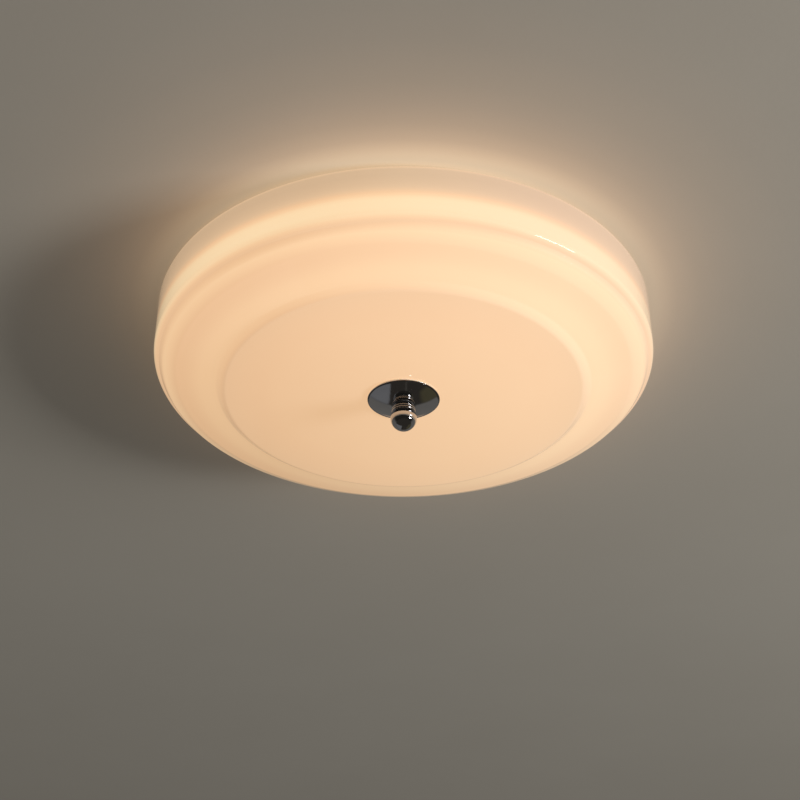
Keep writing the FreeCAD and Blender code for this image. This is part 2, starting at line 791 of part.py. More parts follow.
gearTray()
lightBoard()
ledLenses()
ledChips()
boardConnector()
driverCase()
driverLid()
terminalBlock()
terminalScrews()
grommet("tray_grommet", s.outletHoleRadius, s.traySheet, outletX, outletY, -trayBottom)
screws("tray_screws", [(trayScrewCircle, 0)], s.bigScrewRadius, s.bigHead, s.trayScrewLength,
       -trayBottom, s.trayScrews)
screws("board_screws", [(boardScrewCircle, 0)], s.smallScrewRadius, s.smallHead, s.boardScrewLength,
       -boardBottom, s.boardScrews)
screws("driver_screws", driverScrewPlaces, s.smallScrewRadius, s.smallHead, s.traySheet + s.driverEarSheet,
       -trayBottom)
screws("block_screws", blockScrewPlaces, s.smallScrewRadius, s.smallHead, s.boardScrewLength, -trayBottom)
screws("earth_screw", [(0, s.earthOffset)], s.bigScrewRadius, s.bigHead, s.panScrewLength,
       -recessBottom - s.lugSheet)


def earthLug():
    # ring tongue under the earth screw with its crimp barrel along -X
    body = newBody("earth_lug")
    ring = newSketch(body, "TongueOutline", "XY_Plane")
    drawCircle(ring, s.lugRadius)
    pad(body, ring, s.lugSheet, "Tongue")
    barrelRadius = s.leadRadius + s.lugSheet
    neck = newSketch(body, "NeckOutline", "XY_Plane")
    drawBox(neck, -s.lugRadius - s.lugBarrel / 2, -barrelRadius / 2, 0, barrelRadius / 2)
    pad(body, neck, s.lugSheet, "Neck")
    barrel = newSketch(body, "BarrelOutline", "YZ_Plane")
    drawCircle(barrel, barrelRadius, 0, s.lugSheet - barrelRadius)
    pad(body, raised(barrel, -s.lugRadius), s.lugBarrel, "Barrel", down=True)
    holes = newSketch(body, "HoleOutline", "XY_Plane")
    drawCircle(holes, s.bigScrewRadius)
    pocket(body, holes, None, "Hole")
    bore = newSketch(body, "BarrelBoreOutline", "YZ_Plane")
    drawCircle(bore, s.leadRadius, 0, s.lugSheet - barrelRadius)
    pocket(body, raised(bore, -s.lugRadius), s.lugBarrel, "BarrelBore", up=False)
    return seat(body, 0, s.earthOffset, -recessBottom - s.lugSheet)


earthLug()


# ---- leads, each along runs joined by tangent arcs
def lead(name, route):
    points = [Vector(*[sizeOf(n).value for n in point]) for point in route]
    radius = s.leadRadius.value
    edges, at, bends = [], points[0], []
    for before, corner, after in zip(points, points[1:], points[2:]):
        back, on = (before - corner), (after - corner)
        half = (math.pi - back.getAngle(on)) / 2
        reach = 0.45 * min(back.Length, on.Length)
        bends.append(reach / math.tan(half))
        start = corner + back.normalize() * reach
        end = corner + on.normalize() * reach
        inward = (back + on).normalize()
        middle = corner + inward * (bends[-1] / math.cos(half) - bends[-1])
        edges += [Part.LineSegment(at, start).toShape(), Part.Arc(start, middle, end).toShape()]
        at = end
    edges.append(Part.LineSegment(at, points[-1]).toShape())
    path = Part.Wire(edges)
    section = Part.Wire(Part.Circle(points[0], points[1] - points[0], radius).toShape())
    tube = path.makePipeShell([section], True, True)
    wanted = math.pi * radius ** 2 * path.Length
    if abs(tube.Volume / wanted - 1) > 0.01:
        raise RuntimeError("%s is not a clean tube" % name)
    print("%s length %.0f tightest bend %.1f" % (name, path.Length, min(bends)))
    feature = doc.addObject("Part::Feature", name)
    feature.Label = name
    feature.Shape = tube


wireZ = s.blockWireHeight - trayTop
driverZ = s.driverWireHeight - trayTop
clampX = blockX + s.clampScrewRadius
driverIn = s.driverShift - s.driverLength / 2 + s.leadGrip
driverOut = s.driverShift + s.driverLength / 2 - s.leadGrip
midZ = (wireZ + driverZ) / 2
for name, pole, side in (("lead_live", -s.polePitch, 1), ("lead_neutral", sizeOf(0), -1)):
    # mains leads sweep round the lowered middle of the pan, one inside the other
    spread = s.leadSpacing * side / 2
    lead(name, [
        (clampX, pole, wireZ),
        (clampX + s.leadStraight, pole, wireZ),
        (-s.sweepLeftX - spread, -s.sweepLeftY - spread, midZ),
        (-s.sweepMiddleX, -s.sweepMiddleY - spread, midZ),
        (s.sweepRightX, -s.sweepRightY - spread, midZ),
        (driverX - s.sweepEndX, driverIn - s.sweepEndY - spread, midZ),
        (driverX + spread, driverIn - s.sweepTail - spread, driverZ),
        (driverX + spread, driverIn, driverZ)])
lugX = -s.lugRadius - s.lugBarrel / 2
lugZ = -recessBottom - s.leadRadius - s.lugSheet
lead("lead_earth", [
    (clampX, s.polePitch, wireZ),
    (clampX + s.leadStraight, s.polePitch, wireZ),
    (-s.sweepLeftX, s.earthOffset - s.leadSpacing, wireZ),
    (lugX - s.leadStraight, s.earthOffset, lugZ),
    (lugX, s.earthOffset, lugZ)])
connectorZ = -boardBottom - s.connectorHeight / 2
reach = connectorCircle + s.connectorLength / 2 - s.leadGrip
for name, side in (("lead_positive", 1), ("lead_negative", -1)):
    # output leads drop through the tray and turn inwards to the board's connector
    aside = s.outletSpacing / 2 * side
    acrossX, acrossY = -aside * sine(s.outletAngle), aside * cosine(s.outletAngle)
    startX = driverX - s.leadSpacing / 2 * side
    lead(name, [
        (startX, driverOut, driverZ),
        (startX, driverOut + s.outputStraight, driverZ),
        (outletX + acrossX, outletY + acrossY, driverZ),
        (outletX + acrossX, outletY + acrossY, connectorZ),
        (reach * cosine(s.outletAngle) + acrossX, reach * sine(s.outletAngle) + acrossY, connectorZ)])


# ---- glass shade and its soft parts
def glassShade():
    # stepped drum: wall, rounded corner, groove, bead, shoulder and flat underside, all one wall thick
    body = newBody("glass_shade")
    grooveRadius = s.shadeRadius - s.cornerWidth
    beadRadius = grooveRadius - s.grooveWidth
    shoulderRadius = beadRadius - s.beadWidth
    stepRadius = shoulderRadius - s.shoulderWidth
    flatRadius = stepRadius - s.stepWidth
    revolve(body, [
        (0, 0), (flatRadius, 0), (stepRadius, s.stepHeight), (shoulderRadius, s.shoulderHeight),
        (beadRadius, s.beadHeight), (grooveRadius, s.grooveHeight), (s.shadeRadius, s.cornerHeight),
        (s.shadeRadius, s.shadeHeight), (0, s.shadeHeight)])
    rounds = (
        (flatRadius, 0, s.stepOuterRound, "StepOuterRound"),
        (stepRadius, s.stepHeight, s.stepInnerRound, "StepInnerRound"),
        (shoulderRadius, s.shoulderHeight, s.shoulderRound, "ShoulderRound"),
        (beadRadius, s.beadHeight, s.beadRound, "BeadRound"),
        (grooveRadius, s.grooveHeight, s.grooveRound, "GrooveRound"),
        (s.shadeRadius, s.cornerHeight, s.cornerRound, "CornerRound"))
    for radius, height, fillet, name in rounds:
        roundEdge(body, radius, height, fillet, name)
    base = body.Tip
    top = ["Face%d" % i for i, face in enumerate(base.Shape.Faces, start=1)
           if abs(face.CenterOfMass.z - s.shadeHeight.value) < 1e-4]
    shell = body.newObject("PartDesign::Thickness", "Wall")
    shell.Base = (base, top)
    shell.Reversed = True
    bind(shell, Value=s.glassWall)
    hole = newSketch(body, "HoleOutline", "XY_Plane")
    drawCircle(hole, s.shadeHoleRadius)
    pocket(body, hole, None, "Hole")
    roundEdge(body, s.shadeRadius, s.shadeHeight, s.rimRound, "RimOuterRound")
    roundEdge(body, s.shadeRadius - s.glassWall, s.shadeHeight, s.rimRound, "RimInnerRound")
    return seat(body, z=-shadeBottom)


glassShade()
bushInner = s.rodRadius + s.rodClearance
bushOuter = s.shadeHoleRadius - s.bushGap
turned("hole_bushing", [
    (bushInner, 0), (bushOuter, 0), (bushOuter, s.glassWall), (s.flangeRadius, s.glassWall),
    (s.flangeRadius, s.glassWall + s.flangeSheet), (bushInner, s.glassWall + s.flangeSheet)], -shadeBottom)
washer("lower_gasket", s.gasketInner, s.gasketOuter, s.gasketSheet, -capRim)


# ---- cap and finial
def coverCap():
    # dished metal cap: narrow flat rim, curved cone, flat land round the hole
    body = newBody("cover_cap")
    deep = s.capDepth
    edge = s.capRadius - s.capRimFlat
    curve = s.capRadius * 2
    revolve(body, [
        (0, 0), (s.capLandRadius, 0, curve, -1), (edge, deep - s.capSheet),
        (s.capRadius, deep - s.capSheet), (s.capRadius, deep), (0, deep)])
    revolve(body, [
        (0, s.capSheet), (s.capLandRadius, s.capSheet, curve, -1), (edge - s.capSheet, deep), (0, deep)],
        "Inside", cut=True)
    hole = newSketch(body, "HoleOutline", "XY_Plane")
    drawCircle(hole, s.rodRadius + s.rodClearance)
    pocket(body, hole, None, "Hole")
    return seat(body, z=-capApex)


coverCap()
washer("cap_washer", s.rodRadius + s.rodClearance, s.capWasherRadius, s.capWasherSheet, -collarTop)

insertRadius = s.rodRadius + s.threadClearance + s.insertWall


def ballFinial():
    # ball with a two-bead neck and a collar, bored from above for its threaded insert
    body = newBody("ball_finial")
    joint = s.neckRadius
    centre = s.ballRadius
    rise = math.sqrt(centre.value ** 2 - joint.value ** 2)
    meet = centre + Size("sqrt(Sizes.ballRadius^2 - Sizes.neckRadius^2)", rise)
    top = centre + s.ballDrop - s.capWasherSheet
    first = meet + s.beadPitch
    second = first + s.beadPitch
    revolve(body, [
        (0, 0, s.ballRadius, -1), (joint, meet, s.beadCurve, -1), (joint, first, s.beadCurve, -1),
        (joint, second), (s.collarRadius, second), (s.collarRadius, top), (0, top)])
    bore = raised(newSketch(body, "BoreOutline", "XY_Plane"), top)
    drawCircle(bore, insertRadius)
    pocket(body, bore, s.insertLength + s.rodChamfer, "Bore", up=False)
    return seat(body, z=-ballCentre - centre)


ballFinial()
washer("finial_insert", s.rodRadius + s.threadClearance, insertRadius, s.insertLength,
       -collarTop - s.insertLength)


# ---- check and write
doc.recompute()
kinds = ("PartDesign::Body", "Part::Cut", "Part::Feature")
parts = [item for item in doc.Objects if item.TypeId in kinds]
for item in doc.Objects:
    if "Invalid" in item.State or "Error" in item.State:
        raise RuntimeError("%s did not build: %s" % (item.Label, item.State))
os.makedirs("parts", exist_ok=True)
for item in parts:
    if item.Shape.isNull() or not item.Shape.isValid():
        raise RuntimeError("%s has no valid shape" % item.Label)
for item in parts:
    item.Shape.exportStep("parts/%s.step" % item.Label)
    box = item.Shape.BoundBox
    print("%-16s solids %d volume %.0f z %.2f to %.2f" % (
        item.Label, len(item.Shape.Solids), item.Shape.Volume, box.ZMin, box.ZMax))
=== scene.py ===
import json
import math

import bpy
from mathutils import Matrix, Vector


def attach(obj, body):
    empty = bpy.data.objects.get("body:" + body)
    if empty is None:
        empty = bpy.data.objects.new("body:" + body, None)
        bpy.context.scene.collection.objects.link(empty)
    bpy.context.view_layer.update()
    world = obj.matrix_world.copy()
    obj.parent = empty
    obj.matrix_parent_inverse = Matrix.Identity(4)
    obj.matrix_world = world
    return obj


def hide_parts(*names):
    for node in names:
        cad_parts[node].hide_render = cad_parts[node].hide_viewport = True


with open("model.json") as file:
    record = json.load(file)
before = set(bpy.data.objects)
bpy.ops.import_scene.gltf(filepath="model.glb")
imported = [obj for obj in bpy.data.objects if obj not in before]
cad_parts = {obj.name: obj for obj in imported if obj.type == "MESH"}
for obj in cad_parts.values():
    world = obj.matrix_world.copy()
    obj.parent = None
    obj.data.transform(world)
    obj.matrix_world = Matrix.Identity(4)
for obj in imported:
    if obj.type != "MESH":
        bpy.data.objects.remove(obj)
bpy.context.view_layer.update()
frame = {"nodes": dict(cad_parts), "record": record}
nodes = frame["nodes"]
print("frame loaded:", len(nodes), "nodes from the packed part")

mm = 0.001


# outlines and lathes: every outline is (radius, height) in millimetres
def arcPoints(middle, radius, start, sweep, steps):
    return [middle + Vector((math.cos(start + sweep * k / steps), math.sin(start + sweep * k / steps))) * radius
            for k in range(steps + 1)]


def roundCorners(corners, steps=12):
    # a corner is (radius, height) or (radius, height, fillet)
    line = []
    for i, corner in enumerate(corners):
        here = Vector(corner[:2])
        if len(corner) == 2:
            line.append(here)
            continue
        before = (Vector(corners[i - 1][:2]) - here).normalized()
        after = (Vector(corners[(i + 1) % len(corners)][:2]) - here).normalized()
        half = before.angle(after) / 2
        reach = corner[2] / math.tan(half)
        middle = here + (before + after).normalized() * (corner[2] / math.sin(half))
        first, last = here + before * reach - middle, here + after * reach - middle
        start = math.atan2(first.y, first.x)
        sweep = (math.atan2(last.y, last.x) - start + math.pi) % (2 * math.pi) - math.pi
        line += arcPoints(middle, corner[2], start, sweep, steps)
    return line


def bulge(a, b, radius, side, steps=12):
    # arc from a to b, swelling to the right of the way there with side 1
    a, b = Vector(a), Vector(b)
    along = b - a
    across = Vector((along.y, -along.x)).normalized() * side
    middle = (a + b) / 2 - across * math.sqrt(max(radius ** 2 - (along.length / 2) ** 2, 0))
    start = math.atan2(a.y - middle.y, a.x - middle.x)
    sweep = (math.atan2(b.y - middle.y, b.x - middle.x) - start + math.pi) % (2 * math.pi) - math.pi
    return arcPoints(middle, radius, start, sweep, steps)


def thicken(line, wall):
    # the same line moved to its left by the wall's thickness
    moved = []
    for i, point in enumerate(line):
        before, after = line[max(i - 1, 0)], line[min(i + 1, len(line) - 1)]
        way = (after - before).normalized()
        moved.append(point + Vector((-way.y, way.x)) * wall)
    return moved


def denser(line, longest):
    # long straight runs get extra points, so that faces stay even
    out = [line[0]]
    for a, b in zip(line, line[1:]):
        parts = max(1, math.ceil((b - a).length / longest))
        out += [a.lerp(b, k / parts) for k in range(1, parts + 1)]
    return out


def lathe(name, line, around, closed=True, sharp=40):
    # turns an outline about the lamp's axis; a point on the axis becomes one shared vertex
    clean = [line[0]]
    for point in line[1:]:
        if (point - clean[-1]).length > 1e-4:
            clean.append(point)
    if closed and (clean[0] - clean[-1]).length < 1e-4:
        clean.pop()
    verts, rings = [], []
    for radius, height in clean:
        if radius < 1e-6:
            rings.append([len(verts)] * around)
            verts.append((0, 0, height * mm))
            continue
        rings.append(list(range(len(verts), len(verts) + around)))
        for k in range(around):
            turn = 2 * math.pi * k / around
            verts.append((radius * mm * math.cos(turn), radius * mm * math.sin(turn), height * mm))
    faces = []
    for i in range(len(rings) if closed else len(rings) - 1):
        low, high = rings[i], rings[(i + 1) % len(rings)]
        for k in range(around):
            after = (k + 1) % around
            corners = [low[k], low[after], high[after], high[k]]
            face = [c for n, c in enumerate(corners) if c != corners[n - 1]]
            if len(face) > 2:
                faces.append(face)
    return makeObject(name, verts, faces, sharp)


def makeObject(name, verts, faces, sharp=40):
    mesh = bpy.data.meshes.new(name)
    mesh.from_pydata(verts, [], faces)
    mesh.validate()
    mesh.shade_smooth()
    mesh.set_sharp_from_angle(angle=math.radians(sharp))
    piece = bpy.data.objects.new(name, mesh)
    bpy.context.scene.collection.objects.link(piece)
    return piece


# small helpers for shader trees
def addNode(tree, kind, inputs=None, **settings):
    node = tree.nodes.new("ShaderNode" + kind)
    for key, value in settings.items():
        setattr(node, key, value)
    for key, value in (inputs or {}).items():
        if isinstance(value, bpy.types.NodeSocket):
            tree.links.new(value, node.inputs[key])
        else:
            node.inputs[key].default_value = value
    return node


def addRamp(tree, factor, stops):
    # stops are (place, colour or grey)
    node = addNode(tree, "ValToRGB", {"Fac": factor})
    ramp = node.color_ramp
    while len(ramp.elements) < len(stops):
        ramp.elements.new(0.5)
    for element, (place, colour) in zip(ramp.elements, stops):
        element.position = place
    for element, (place, colour) in zip(ramp.elements, stops):
        element.color = (colour, colour, colour, 1) if isinstance(colour, (int, float)) else (*colour, 1)
    return node.outputs["Color"]


def addMix(tree, factor, a, b, blend="MIX"):
    node = addNode(tree, "Mix", data_type="RGBA", blend_type=blend)
    for socket, value in zip((node.inputs[0], node.inputs[6], node.inputs[7]), (factor, a, b)):
        if isinstance(value, bpy.types.NodeSocket):
            tree.links.new(value, socket)
        elif socket == node.inputs[0]:
            socket.default_value = value
        else:
            socket.default_value = (*value, 1)
    return node.outputs[2]


def addMath(tree, operation, a, b=0.0, clamp=False):
    return addNode(tree, "Math", {0: a, 1: b}, operation=operation, use_clamp=clamp).outputs[0]


def addStep(tree, value, low, high):
    # 0 under low, 1 over high, smooth between them
    ends = {"Value": value, "From Min": low, "From Max": high}
    return addNode(tree, "MapRange", ends, interpolation_type="SMOOTHSTEP").outputs["Result"]


def spread(tree, mask, least, extra):
    # least where the mask is 0, least plus extra where it is 1
    return addNode(tree, "Math", {0: mask, 1: extra, 2: least}, operation="MULTIPLY_ADD").outputs[0]


def addVectors(tree, a, b):
    return addNode(tree, "VectorMath", {0: a, 1: b}, operation="ADD").outputs[0]


def scaled(tree, vector, factor):
    return addNode(tree, "VectorMath", {0: vector, "Scale": factor}, operation="SCALE").outputs[0]


def axisDistance(tree, place):
    # how far a place is from the lamp's axis
    flat = addNode(tree, "VectorMath", {0: place, 1: (1.0, 1.0, 0.0)}, operation="MULTIPLY").outputs[0]
    return addNode(tree, "VectorMath", {0: flat}, operation="LENGTH").outputs["Value"]


def newGroup(name, inputs, outputs):
    group = bpy.data.node_groups.new(name, "ShaderNodeTree")
    for socket, kind, value in inputs:
        made = group.interface.new_socket(name=socket, in_out="INPUT", socket_type="NodeSocket" + kind)
        made.default_value = value
    for socket, kind in outputs:
        group.interface.new_socket(name=socket, in_out="OUTPUT", socket_type="NodeSocket" + kind)
    return group, group.nodes.new("NodeGroupInput"), group.nodes.new("NodeGroupOutput")


def useGroup(tree, group, **inputs):
    node = tree.nodes.new("ShaderNodeGroup")
    node.node_tree = group
    for key, value in inputs.items():
        if isinstance(value, bpy.types.NodeSocket):
            tree.links.new(value, node.inputs[key])
        else:
            node.inputs[key].default_value = value
    return node


# mottle: two close tones in soft clouds
mottle, given, result = newGroup(
    "mottle",
    [("Base", "Color", (0.5, 0.5, 0.5, 1)), ("Second", "Color", (0.4, 0.4, 0.4, 1)), ("Scale", "Float", 60.0)],
    [("Color", "Color"), ("Mask", "Float")])
place = addNode(mottle, "TexCoord").outputs["Object"]
grain = {"Vector": place, "Scale": given.outputs["Scale"], "Detail": 5.0, "Roughness": 0.6}
clouds = addNode(mottle, "TexNoise", grain).outputs["Fac"]
mask = addRamp(mottle, clouds, [(0.36, 0.0), (0.66, 1.0)])
mottle.links.new(addMix(mottle, mask, given.outputs["Base"], given.outputs["Second"]), result.inputs["Color"])
mottle.links.new(mask, result.inputs["Mask"])

# hairlines: thin scratches in one direction, a mask from 0 to 1
hairlines, given, result = newGroup(
    "hairlines", [("Stretch", "Vector", (1.0, 30.0, 30.0)), ("Scale", "Float", 40.0)], [("Mask", "Float")])
place = addNode(hairlines, "TexCoord").outputs["Object"]
pulled = addNode(hairlines, "VectorMath", {0: place, 1: given.outputs["Stretch"]}, operation="MULTIPLY").outputs[0]
grain = {"Vector": pulled, "Scale": given.outputs["Scale"], "Detail": 3.0}
lines = addNode(hairlines, "TexNoise", grain).outputs["Fac"]
hairlines.links.new(addRamp(hairlines, lines, [(0.42, 0.0), (0.62, 1.0)]), result.inputs["Mask"])

# edgeWear: a mask on outer edges, broken up by noise
edgeWear, given, result = newGroup(
    "edgeWear", [("Reach", "Float", 0.52), ("Scale", "Float", 300.0)], [("Mask", "Float")])
point = addNode(edgeWear, "NewGeometry").outputs["Pointiness"]
place = addNode(edgeWear, "TexCoord").outputs["Object"]
grain = {"Vector": place, "Scale": given.outputs["Scale"], "Detail": 4.0}
speck = addNode(edgeWear, "TexNoise", grain).outputs["Fac"]
above = addMath(edgeWear, "SUBTRACT", point, given.outputs["Reach"])
raised = addMath(edgeWear, "MULTIPLY", above, 14.0, clamp=True)
edgeWear.links.new(addMath(edgeWear, "MULTIPLY", raised, speck, clamp=True), result.inputs["Mask"])

# dust: a pale film on faces that look up
dust, given, result = newGroup(
    "dust",
    [("Base", "Color", (0.5, 0.5, 0.5, 1)), ("Film", "Color", (0.55, 0.53, 0.5, 1)), ("Amount", "Float", 0.3)],
    [("Color", "Color")])
up = addNode(dust, "SeparateXYZ", {0: addNode(dust, "NewGeometry").outputs["Normal"]}).outputs["Z"]
place = addNode(dust, "TexCoord").outputs["Object"]
patch = addNode(dust, "TexNoise", {"Vector": place, "Scale": 35.0, "Detail": 6.0}).outputs["Fac"]
cover = addMath(dust, "MULTIPLY", up, patch, clamp=True)
cover = addMath(dust, "MULTIPLY", cover, given.outputs["Amount"], clamp=True)
dust.links.new(addMix(dust, cover, given.outputs["Base"], given.outputs["Film"]), result.inputs["Color"])
print("shader groups ready")


def newMaterial(name):
    material = bpy.data.materials.new(name)
    material.use_nodes = True
    tree = material.node_tree
    tree.nodes.clear()
    shader = addNode(tree, "BsdfPrincipled")
    addNode(tree, "OutputMaterial", {"Surface": shader.outputs[0]})
    return material, tree, shader


def setShader(tree, shader, **values):
    for key, value in values.items():
        socket = shader.inputs[key.replace("_", " ")]
        if isinstance(value, bpy.types.NodeSocket):
            tree.links.new(value, socket)
        else:
            socket.default_value = (*value, 1) if isinstance(value, tuple) else value


def addBump(tree, height, strength, distance):
    return addNode(tree, "Bump", {"Height": height, "Strength": strength, "Distance": distance}).outputs[0]


def noiseOf(tree, scale, detail=3.0):
    place = addNode(tree, "TexCoord").outputs["Object"]
    return addNode(tree, "TexNoise", {"Vector": place, "Scale": scale, "Detail": detail}).outputs["Fac"]


# finishes, one function for each kind
def zincPlate():
    # bright zinc: cloudy spangle, fine drawing lines, dull worn edges
    material, tree, shader = newMaterial("zincPlate")
    cloudy = useGroup(tree, mottle, Base=(0.60, 0.61, 0.62, 1), Second=(0.47, 0.48, 0.50, 1), Scale=220.0)
    worn = useGroup(tree, edgeWear, Reach=0.53, Scale=600.0)
    drawn = useGroup(tree, hairlines, Stretch=(1.0, 25.0, 25.0), Scale=60.0)
    colour = addMix(tree, worn.outputs["Mask"], cloudy.outputs["Color"], (0.72, 0.71, 0.69))
    grain = spread(tree, drawn.outputs["Mask"], 0.30, 0.12)
    setShader(tree, shader, Base_Color=colour, Metallic=1.0, Roughness=grain,
              Normal=addBump(tree, drawn.outputs["Mask"], 0.12, 0.0002))
    return material


def whiteCoat():
    # white powder coat: faint orange peel, a little dust on top faces
    material, tree, shader = newMaterial("whiteCoat")
    tone = useGroup(tree, mottle, Base=(0.80, 0.79, 0.76, 1), Second=(0.76, 0.75, 0.72, 1), Scale=18.0)
    dusty = useGroup(tree, dust, Base=tone.outputs["Color"], Film=(0.52, 0.50, 0.47, 1), Amount=0.35)
    worn = useGroup(tree, edgeWear, Reach=0.56, Scale=400.0)
    colour = addMix(tree, worn.outputs["Mask"], dusty.outputs["Color"], (0.60, 0.60, 0.60))
    setShader(tree, shader, Base_Color=colour, Roughness=0.38, Specular_IOR_Level=0.45,
              Normal=addBump(tree, noiseOf(tree, 900.0), 0.10, 0.0002))
    return material


opal = {
    "radius": 200.0, "bottom": -72.0, "height": 70.0,  # span of the two curves, in millimetres
    # glow over the underside: radius in millimetres and level
    "glowOut": ((0, 0.835), (60, 0.835), (100, 0.83), (130, 0.805), (141, 0.787), (143, 0.775), (146, 0.845),
                (150, 0.88), (155, 0.89), (162, 0.88), (170, 0.84), (176, 0.82), (182, 0.82), (187, 0.88),
                (190.5, 0.91), (193, 0.87), (195.5, 0.79), (197, 0.82), (198.9, 0.94), (199.8, 1.0)),
    # glow up the wall, which fades above the lamp board: height above the flat and level
    "glowUp": ((22, 1.0), (27, 0.95), (31, 0.975), (37, 0.965), (40, 0.935), (43, 0.86), (46, 0.74),
               (49, 0.655), (52, 0.61), (55, 0.58), (60, 0.54), (65.5, 0.53), (67.2, 0.62), (68.3, 0.74)),
    "waver": 0.03,  # how much the second curve strays
    # colour at each level: thin light is deep, strong light is pale
    "glow": ((0.0, (0.0, 0.0, 0.0)), (0.46, (0.475, 0.325, 0.20)), (0.66, (0.675, 0.45, 0.265)),
             (0.82, (0.835, 0.518, 0.284)), (0.90, (0.90, 0.585, 0.325)), (0.96, (0.93, 0.675, 0.395)),
             (1.0, (0.94, 0.70, 0.42))),
    # painted light from the room's side lamp: the underside gains this much glow for each metre to the right and to
    # the front
    "paintedLightRight": (0.62, 0.54, 0.42), "paintedLightFront": (0.42, 0.26, 0.19), "evenBeyond": 0.115,
    # painted shade: the wall's right side loses this much glow for each metre to the right
    "paintedShadeWallRight": (-0.32, -0.42, -0.16),  # the same for the wall, on its right side only
    "wallFrom": (-0.062, -0.040),  # heights between which the underside goes over to the wall
    "glass": (0.235, 0.215, 0.185), "second": (0.225, 0.205, 0.178),
}


def opalGlass():
    # milk glass lit from inside: the glow is painted by place on the shade, not by the view
    material, tree, shader = newMaterial("opalGlass")
    place = addNode(tree, "TexCoord").outputs["Object"]
    x, y, z = addNode(tree, "SeparateXYZ", {0: place}).outputs
    # level from the two curves; the second one wavers a little, as poured glass does
    out = addMath(tree, "MULTIPLY", axisDistance(tree, place), 1 / (opal["radius"] * mm))
    under = addRamp(tree, out, [(radius / opal["radius"], level) for radius, level in opal["glowOut"]])
    wobble = addNode(tree, "TexNoise", {"Vector": place, "Scale": 9.0, "Detail": 2.0}).outputs["Fac"]
    waver = addMath(tree, "MULTIPLY", addMath(tree, "SUBTRACT", wobble, 0.5), opal["waver"])
    above = addMath(tree, "SUBTRACT", z, opal["bottom"] * mm)
    up = addMath(tree, "ADD", addMath(tree, "MULTIPLY", above, 1 / (opal["height"] * mm)), waver)
    wall = addRamp(tree, up, [(height / opal["height"], level) for height, level in opal["glowUp"]])
    glow = addRamp(tree, addMix(tree, 1.0, under, wall, "MULTIPLY"), opal["glow"])
    # painted light from the room's side lamp: brighter to the right and front on the underside; painted shade:
    # darker to the right on the wall
    low = addMath(tree, "SUBTRACT", 1.0, addStep(tree, z, *opal["wallFrom"]))
    high = addMath(tree, "SUBTRACT", 1.0, low)
    x = addMath(tree, "MINIMUM", addMath(tree, "MAXIMUM", x, -opal["evenBeyond"]), opal["evenBeyond"])
    front = addMath(tree, "MULTIPLY", y, -1.0)
    across = scaled(tree, opal["paintedLightRight"], addMath(tree, "MULTIPLY", x, low))
    toward = scaled(tree, opal["paintedLightFront"], addMath(tree, "MULTIPLY", front, low))
    onWall = scaled(tree, opal["paintedShadeWallRight"], addMath(tree, "MULTIPLY", addMath(tree, "MAXIMUM", x, 0.0), high))
    for share in (across, toward, onWall):
        glow = addVectors(tree, glow, share)
    cloudy = useGroup(tree, mottle, Base=(*opal["glass"], 1), Second=(*opal["second"], 1), Scale=14.0)
    setShader(tree, shader, Base_Color=cloudy.outputs["Color"], Roughness=0.42, Specular_IOR_Level=0.3,
              Coat_Weight=1.0, Coat_Roughness=0.03, Coat_IOR=1.5, Emission_Color=glow, Emission_Strength=1.0,
              Normal=addBump(tree, noiseOf(tree, 6.0, 1.0), 0.05, 0.004))
    return material


def darkChrome():
    # polished plate over brass: near mirror, with a breath of haze and hair-fine rubbing marks
    material, tree, shader = newMaterial("darkChrome")
    tone = useGroup(tree, mottle, Base=(0.56, 0.56, 0.575, 1), Second=(0.52, 0.52, 0.535, 1), Scale=90.0)
    rubbed = useGroup(tree, hairlines, Stretch=(40.0, 3.0, 30.0), Scale=50.0)
    rough = spread(tree, rubbed.outputs["Mask"], 0.05, 0.03)
    setShader(tree, shader, Base_Color=tone.outputs["Color"], Metallic=1.0, Roughness=rough,
              Normal=addBump(tree, rubbed.outputs["Mask"], 0.02, 0.0001))
    return material


def turnedBrass():
    # machined brass with fine rings left by the tool
    material, tree, shader = newMaterial("turnedBrass")
    tone = useGroup(tree, mottle, Base=(0.74, 0.53, 0.24, 1), Second=(0.55, 0.37, 0.16, 1), Scale=260.0)
    turned = useGroup(tree, hairlines, Stretch=(4.0, 4.0, 60.0), Scale=70.0)
    rough = spread(tree, turned.outputs["Mask"], 0.24, 0.14)
    setShader(tree, shader, Base_Color=tone.outputs["Color"], Metallic=1.0, Roughness=rough,
              Normal=addBump(tree, turned.outputs["Mask"], 0.15, 0.0001))
    return material


def softSilicone():
    # cloudy rubber that lets a little light in, dusty where it faces up
    material, tree, shader = newMaterial("softSilicone")
    tone = useGroup(tree, mottle, Base=(0.80, 0.79, 0.76, 1), Second=(0.72, 0.71, 0.68, 1), Scale=150.0)
    dusty = useGroup(tree, dust, Base=tone.outputs["Color"], Film=(0.6, 0.58, 0.55, 1), Amount=0.4)
    setShader(tree, shader, Base_Color=dusty.outputs["Color"], Roughness=0.5, Subsurface_Weight=0.25,
              Subsurface_Scale=0.004, Normal=addBump(tree, noiseOf(tree, 700.0), 0.08, 0.0002))
    return material


def mouldedPlastic(name, base, second, rough, grain):
    # fine-grained moulding with paler edges
    material, tree, shader = newMaterial(name)
    tone = useGroup(tree, mottle, Base=(*base, 1), Second=(*second, 1), Scale=80.0)
    worn = useGroup(tree, edgeWear, Reach=0.55, Scale=500.0)
    lighter = tuple(min(1.0, c * 1.15 + 0.02) for c in base)
    colour = addMix(tree, worn.outputs["Mask"], tone.outputs["Color"], lighter)
    setShader(tree, shader, Base_Color=colour, Roughness=rough,
              Normal=addBump(tree, noiseOf(tree, grain), 0.12, 0.0002))
    return material


board = {
    "trackRings": (50.0, 100.0), "trackHalf": 1.6,  # radius of each ring of tracks, and half its width
    "mask": (0.82, 0.82, 0.79), "second": (0.79, 0.79, 0.76), "track": (0.70, 0.71, 0.68),
}


